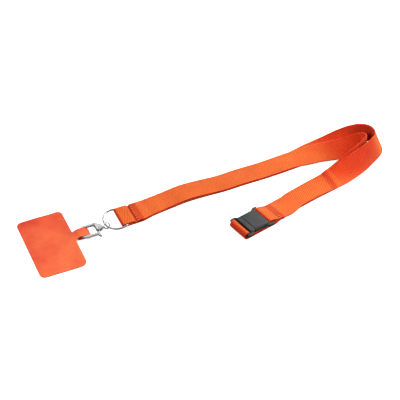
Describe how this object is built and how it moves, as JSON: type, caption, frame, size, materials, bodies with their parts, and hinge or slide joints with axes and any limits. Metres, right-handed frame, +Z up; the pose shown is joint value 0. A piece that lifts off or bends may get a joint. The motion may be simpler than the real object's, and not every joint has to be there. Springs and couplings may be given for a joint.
{
  "type": "neck lanyard",
  "caption": "Flat woven neck lanyard folded in a V, with a breakaway buckle, split ring, swivel trigger hook and a T-shaped phone tether patch.",
  "frame": {"origin": "centre of the bounding box's bottom, on the surface that the lanyard lies on", "axes": "+X along the folded lanyard, from the phone patch to the bend of the strap; +Y towards the ring side's far edge; +Z up from the surface"},
  "size_m": [0.3202, 0.1767, 0.0207],
  "materials": {
    "webbing": "woven polyester webbing, fine twill",
    "thread": "polyester sewing thread",
    "ring_steel": "nickel plated spring steel",
    "hook_metal": "chrome plated die casting",
    "spring_steel": "spring wire",
    "patch_sheet": "smooth satin coated sheet",
    "patch_lining": "thin backing sheet",
    "buckle_plastic": "moulded acetal, fine spark texture"
  },
  "bodies": {
    "root": {"outer_strap": "webbing", "inner_strap": "webbing", "ring_seam_top_thread": "thread", "ring_seam_bobbin_thread": "thread", "socket_seam_top_thread": "thread", "socket_seam_bobbin_thread": "thread", "buckle_socket": "buckle_plastic"},
    "ring": {"split_ring": "ring_steel"},
    "swivel": {"swivel_eye": "hook_metal"},
    "hook": {"hook_body": "hook_metal", "gate_pin": "hook_metal", "gate_spring": "spring_steel", "tongue_loop": "patch_sheet"},
    "gate": {"gate_lever": "hook_metal"},
    "patch": {"patch_face": "patch_sheet", "patch_backing": "patch_lining"},
    "plug": {"buckle_plug": "buckle_plastic", "inner_strap_plug_loop": "webbing", "plug_seam_top_thread": "thread", "plug_seam_bobbin_thread": "thread"}
  },
  "joints": [
    {"name": "ring_spin", "type": "hinge", "parent": "root", "child": "ring", "pos_m": [-0.07705, -0.02174, 0.00308], "axis": [0.0458, -0.0939, 0.9945], "continuous": true},
    {"name": "eye_swing", "type": "hinge", "parent": "root", "child": "swivel", "pos_m": [-0.08483, -0.0298, 0.00268], "axis": [-0.7193, 0.6947, 0], "range_deg": [0, 60]},
    {"name": "hook_swivel", "type": "hinge", "parent": "swivel", "child": "hook", "pos_m": [-0.08462, -0.02958, 0.0028], "axis": [0.9171, 0.3987, 0], "continuous": true},
    {"name": "gate_pivot", "type": "hinge", "parent": "hook", "child": "gate", "pos_m": [-0.091, -0.03334, 0.0028], "axis": [0, 0, 1], "range_deg": [0, 25], "stiffness_Nm_per_rad": 0.002, "springref_deg": -22.92},
    {"name": "patch_bend", "type": "hinge", "parent": "hook", "child": "patch", "pos_m": [-0.11139, -0.04199, 0.0004], "axis": [-0.3987, 0.9171, 0], "range_deg": [0, 75]},
    {"name": "plug_slide", "type": "slide", "parent": "root", "child": "plug", "axis": [-0.7934, -0.6088, 0], "range_m": [0, 0.0125]}
  ]
}
